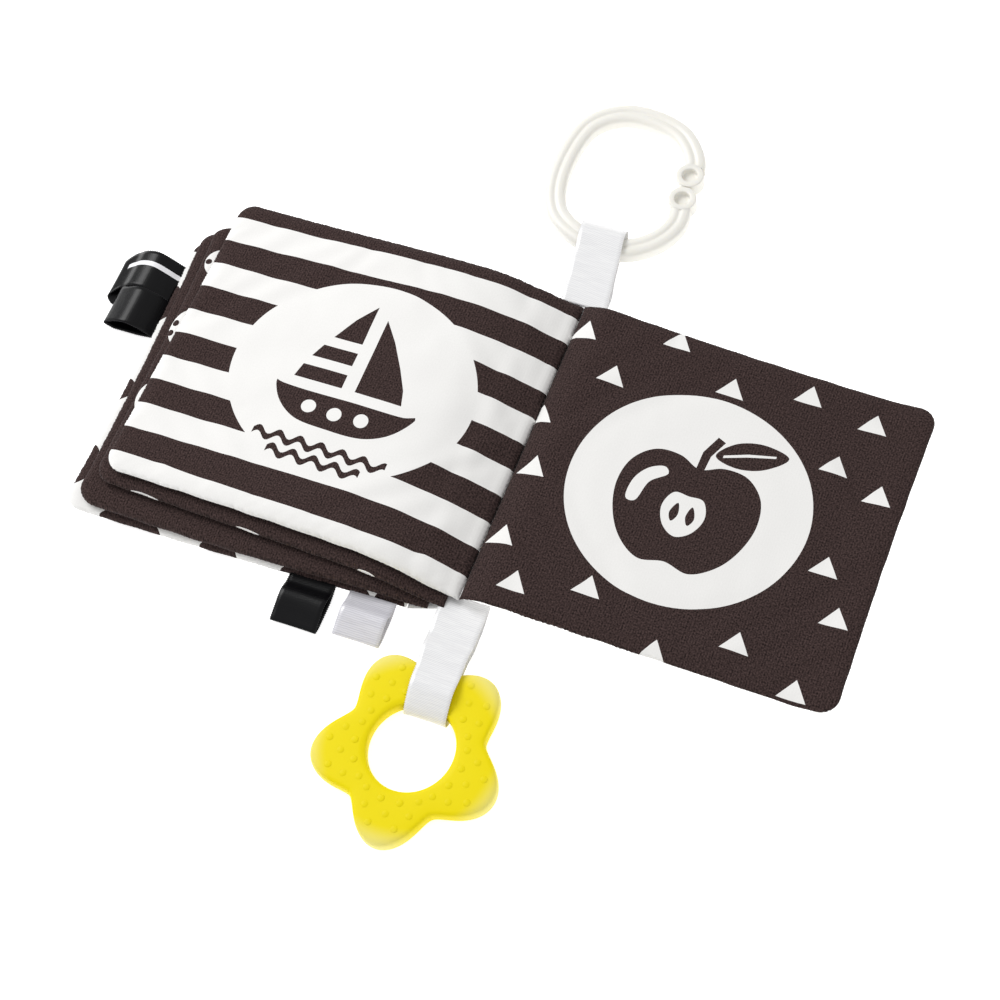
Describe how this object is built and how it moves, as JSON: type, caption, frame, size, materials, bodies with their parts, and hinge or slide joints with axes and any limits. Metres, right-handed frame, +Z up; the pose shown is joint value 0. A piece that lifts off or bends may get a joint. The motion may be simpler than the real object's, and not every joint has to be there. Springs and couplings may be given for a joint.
{
  "type": "contrast book",
  "caption": "Soft padded cloth baby book lying open, with high-contrast pages, satin tags, a clip ring on a ribbon and a star teether.",
  "frame": {"origin": "on the table, at the middle of the flat underside of the spine strip", "axes": "+X from the spine to the open back cover, +Y up the spine to the clip ring, +Z up from the table"},
  "size_m": [0.3555, 0.3521, 0.0237],
  "materials": {
    "printed_cover_knit": "matt brushed knit with a dark and white print",
    "dark_print_knit": "matt brushed knit, brown-black print",
    "striped_knit": "matt brushed knit with dark stripes",
    "wadding": "loose polyester wadding",
    "crinkle_film": "thin crinkle film",
    "black_satin": "woven satin ribbon",
    "grey_satin": "woven satin ribbon",
    "white_satin": "woven satin ribbon",
    "white_plastic": "moulded, soft gloss",
    "yellow_silicone": "moulded silicone, semi-matt"
  },
  "bodies": {
    "front_cover": {"front_cover_outer_panel": "printed_cover_knit", "front_cover_inner_panel": "printed_cover_knit", "front_cover_wadding": "wadding", "front_cover_crinkle_film": "crinkle_film", "spine_strip": "printed_cover_knit", "plain_edge_tag": "black_satin", "striped_edge_tag": "black_satin", "black_foot_tag": "black_satin", "grey_foot_tag": "grey_satin"},
    "leaf_1": {"leaf_1_upper_panel": "dark_print_knit", "leaf_1_lower_panel": "dark_print_knit", "leaf_1_wadding": "wadding"},
    "leaf_2": {"leaf_2_upper_panel": "dark_print_knit", "leaf_2_lower_panel": "dark_print_knit", "leaf_2_wadding": "wadding"},
    "leaf_3": {"leaf_3_upper_panel": "striped_knit", "leaf_3_lower_panel": "dark_print_knit", "leaf_3_wadding": "wadding"},
    "back_cover": {"back_cover_inner_panel": "dark_print_knit", "back_cover_outer_panel": "printed_cover_knit", "back_cover_wadding": "wadding", "back_cover_crinkle_film": "crinkle_film"},
    "clip_strap": {"clip_ribbon": "white_satin"},
    "clip": {"clip_ring": "white_plastic"},
    "teether_strap": {"teether_ribbon": "white_satin"},
    "star": {"teether": "yellow_silicone"}
  },
  "joints": [
    {"name": "leaf_1_turn", "type": "hinge", "parent": "front_cover", "child": "leaf_1", "pos_m": [0.013, 0, 0.017], "axis": [0, 1, 0], "range_deg": [0, 30]},
    {"name": "leaf_2_turn", "type": "hinge", "parent": "leaf_1", "child": "leaf_2", "pos_m": [0.013, 0, 0.017], "axis": [0, 1, 0], "range_deg": [0, 30]},
    {"name": "leaf_3_turn", "type": "hinge", "parent": "leaf_2", "child": "leaf_3", "pos_m": [0.013, 0, 0.017], "axis": [0, 1, 0], "range_deg": [0, 110]},
    {"name": "back_cover_turn", "type": "hinge", "parent": "front_cover", "child": "back_cover", "pos_m": [0.013, 0, 0.017], "axis": [0, 1, 0], "range_deg": [-176, 0]},
    {"name": "clip_strap_bend", "type": "hinge", "parent": "front_cover", "child": "clip_strap", "pos_m": [0.0128, 0.0759, 0.0092], "axis": [-1, 0, 0], "range_deg": [-65, 0]},
    {"name": "clip_swing", "type": "hinge", "parent": "clip_strap", "child": "clip", "pos_m": [0.008, 0.1082, 0.0047], "axis": [-1, 0, 0], "range_deg": [-60, 0], "deforming": ["clip_ribbon"]},
    {"name": "teether_strap_bend", "type": "hinge", "parent": "front_cover", "child": "teether_strap", "pos_m": [0.0177, -0.0737, 0.005], "axis": [1, 0, 0], "range_deg": [-65, 0]},
    {"name": "teether_swing", "type": "hinge", "parent": "teether_strap", "child": "star", "pos_m": [0.0175, -0.0955, 0.0054], "axis": [1, 0, 0], "range_deg": [-60, 0], "deforming": ["teether_ribbon"]}
  ]
}
